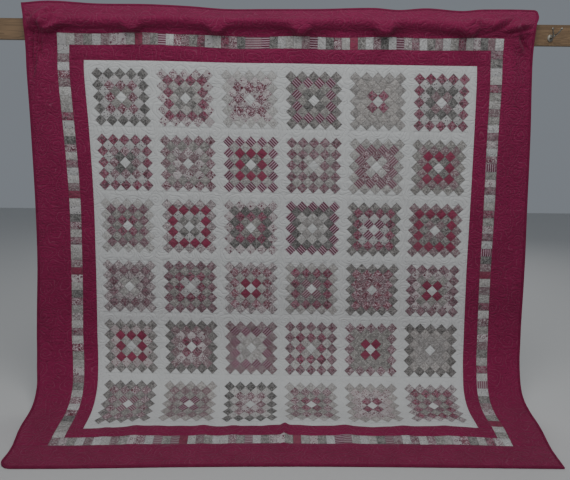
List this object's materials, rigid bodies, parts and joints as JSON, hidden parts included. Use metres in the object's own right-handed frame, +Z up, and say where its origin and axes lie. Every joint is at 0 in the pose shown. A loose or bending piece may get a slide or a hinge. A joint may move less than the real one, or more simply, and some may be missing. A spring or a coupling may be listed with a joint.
{
  "type": "patchwork quilt on a hook rail",
  "caption": "Square pieced quilt with on-point patch blocks and crimson borders, hung from a wooden rail of forked coat hooks, its foot curving out onto the floor.",
  "frame": {"origin": "middle of the rail's back face, where the wall holds it", "axes": "X across the quilt to its right as it is seen, +Y into the wall, +Z up"},
  "size_m": [2.54, 0.7032, 1.7639],
  "materials": {
    "white_cloth": "matt quilted cotton, printed patches on white",
    "crimson_cloth": "matt quilted cotton, plain dark crimson",
    "scrap_cloth": "matt quilted cotton, small mixed prints",
    "binding_cloth": "matt folded cotton strip",
    "pine": "clear satin varnish",
    "hook_metal": "dull pale metal"
  },
  "bodies": {
    "root": {"centre_field": "white_cloth", "inner_border_top": "crimson_cloth", "inner_border_bottom": "crimson_cloth", "inner_border_left": "crimson_cloth", "inner_border_right": "crimson_cloth", "pieced_border_top": "scrap_cloth", "pieced_border_bottom": "scrap_cloth", "pieced_border_left": "scrap_cloth", "pieced_border_right": "scrap_cloth", "outer_border_top": "crimson_cloth", "outer_border_bottom": "crimson_cloth", "outer_border_left": "crimson_cloth", "outer_border_right": "crimson_cloth", "binding_top": "binding_cloth", "binding_bottom": "binding_cloth", "binding_left": "binding_cloth", "binding_right": "binding_cloth", "rail": "pine", "hook_1": "hook_metal", "hook_2": "hook_metal", "hook_3": "hook_metal", "hook_4": "hook_metal", "hook_5": "hook_metal", "hook_6": "hook_metal", "hook_7": "hook_metal"}
  },
  "joints": []
}
